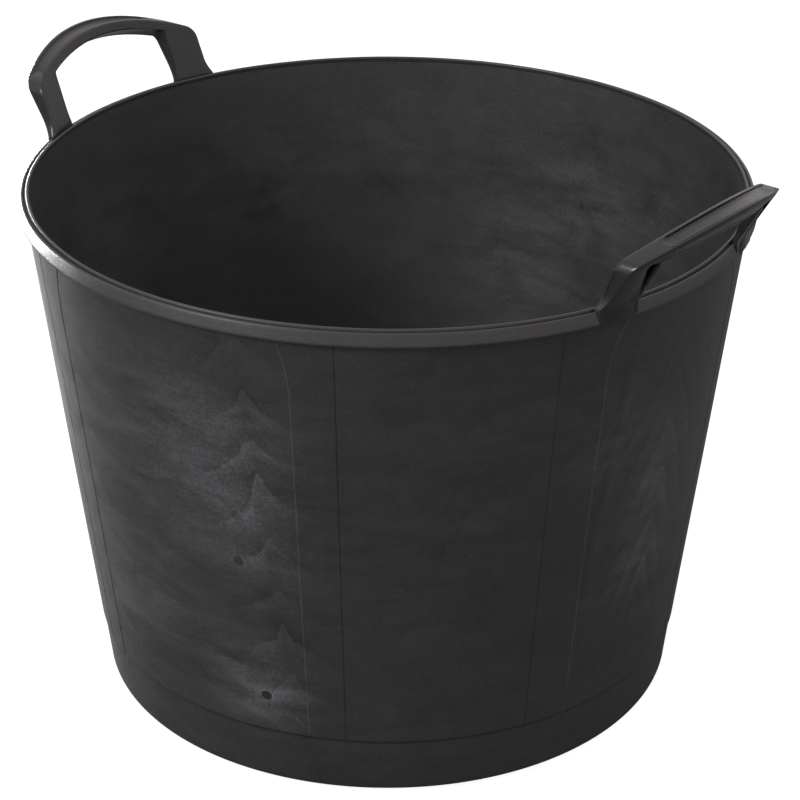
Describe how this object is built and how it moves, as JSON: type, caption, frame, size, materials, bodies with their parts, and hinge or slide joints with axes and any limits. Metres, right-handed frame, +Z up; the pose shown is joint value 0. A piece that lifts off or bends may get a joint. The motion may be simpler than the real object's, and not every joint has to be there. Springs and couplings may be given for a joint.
{
  "type": "mortar mixing tub",
  "caption": "Round tapered builder's tub moulded in black polyethylene, with a stiff rim and a flared integral handle on each side.",
  "frame": {"origin": "middle of the underside, on the surface that the tub stands on", "axes": "+Z up along the tub's axis; +X through the right handle and -X through the left handle"},
  "size_m": [0.5078, 0.45, 0.375],
  "materials": {
    "black_polyethylene": "satin",
    "black_polyethylene_rim": "satin",
    "black_polyethylene_handle": "satin"
  },
  "bodies": {
    "root": {"tub_floor": "black_polyethylene", "foot_corner": "black_polyethylene", "foot_band": "black_polyethylene", "tub_wall": "black_polyethylene", "rim_bead": "black_polyethylene_rim", "rim_band": "black_polyethylene_rim", "right_handle_grip": "black_polyethylene_handle", "right_handle_front_leg": "black_polyethylene_handle", "right_handle_rear_leg": "black_polyethylene_handle", "left_handle_grip": "black_polyethylene_handle", "left_handle_front_leg": "black_polyethylene_handle", "left_handle_rear_leg": "black_polyethylene_handle"}
  },
  "joints": []
}
